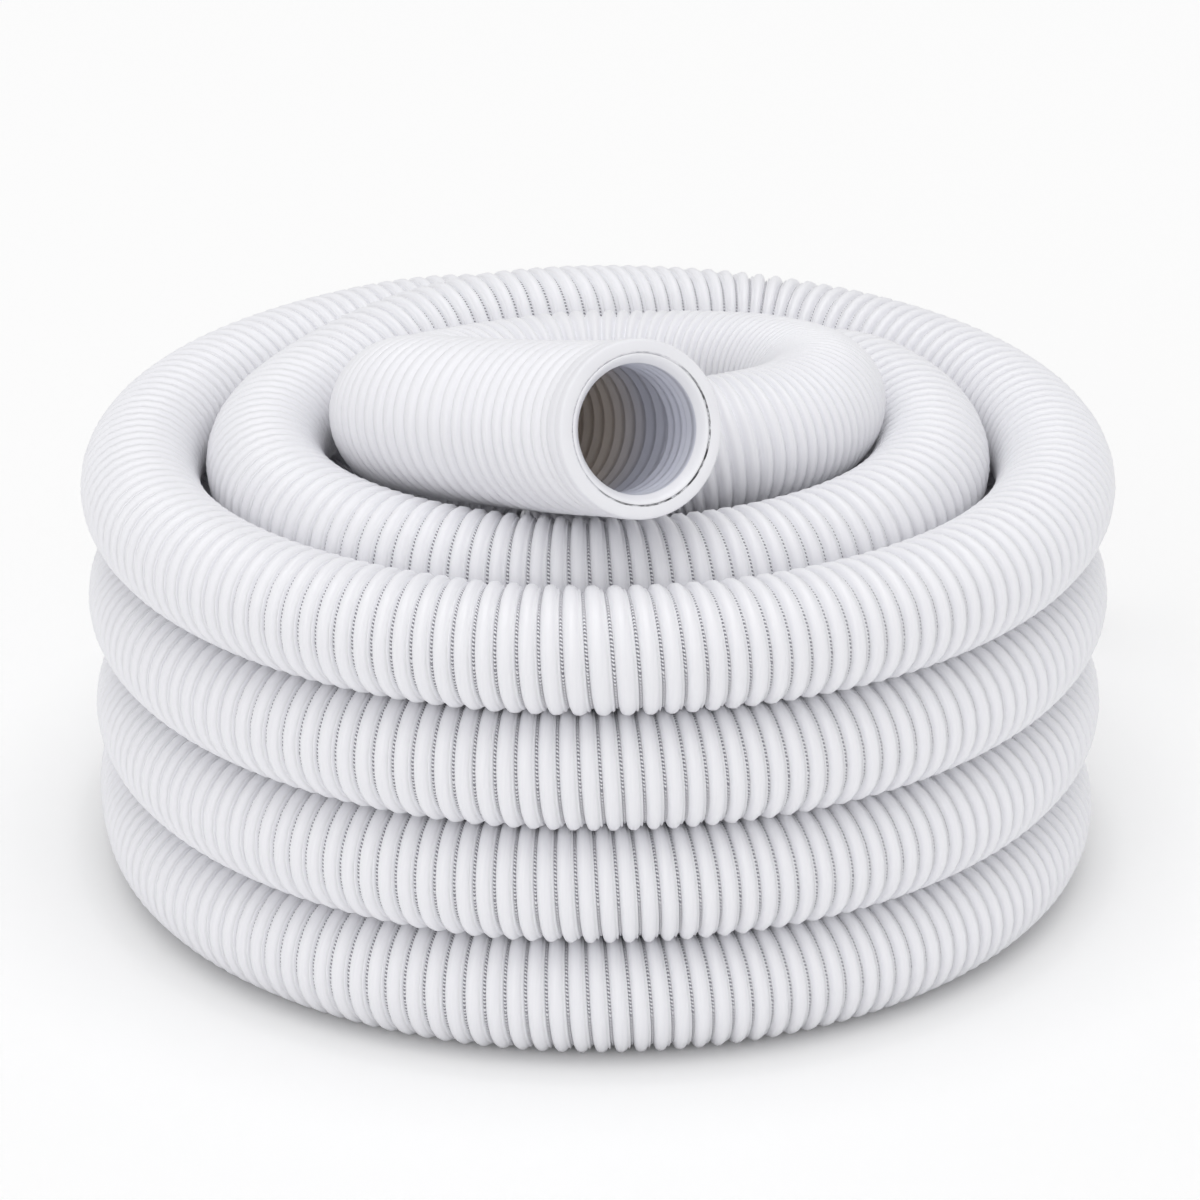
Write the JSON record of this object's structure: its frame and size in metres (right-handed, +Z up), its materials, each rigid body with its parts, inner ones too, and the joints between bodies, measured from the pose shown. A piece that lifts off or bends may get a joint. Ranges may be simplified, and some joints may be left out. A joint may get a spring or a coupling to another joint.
{
  "type": "vacuum hose",
  "caption": "Coiled corrugated swimming pool vacuum hose with a swivel cuff on its raised open end and a plain moulded cuff on its far end.",
  "frame": {"origin": "bottom centre of the box around the whole part, on the floor it lies on", "axes": "+Z up, along the coil's axis; -Y towards the side over which the open end reaches; +X to the right when seen from there"},
  "size_m": [0.3472, 0.3872, 0.2215],
  "materials": {
    "hose": "soft gloss moulded white",
    "collar": "plain moulded, pale grey white",
    "seal": "matt",
    "cuff": "satin moulded white",
    "liner": "smooth moulded white"
  },
  "bodies": {
    "hose": {"hose_coil": "hose", "hose_tail": "hose", "hose_top_loop": "hose", "end_collar": "collar", "swivel_seal": "seal", "fixed_cuff": "cuff"},
    "swivel": {"swivel_cuff": "cuff", "cuff_liner": "liner"}
  },
  "joints": [
    {"name": "cuff_swivel", "type": "hinge", "parent": "hose", "child": "swivel", "pos_m": [0.00886, -0.15453, 0.197], "axis": [0.4396, -0.8409, 0.3156], "continuous": true}
  ]
}
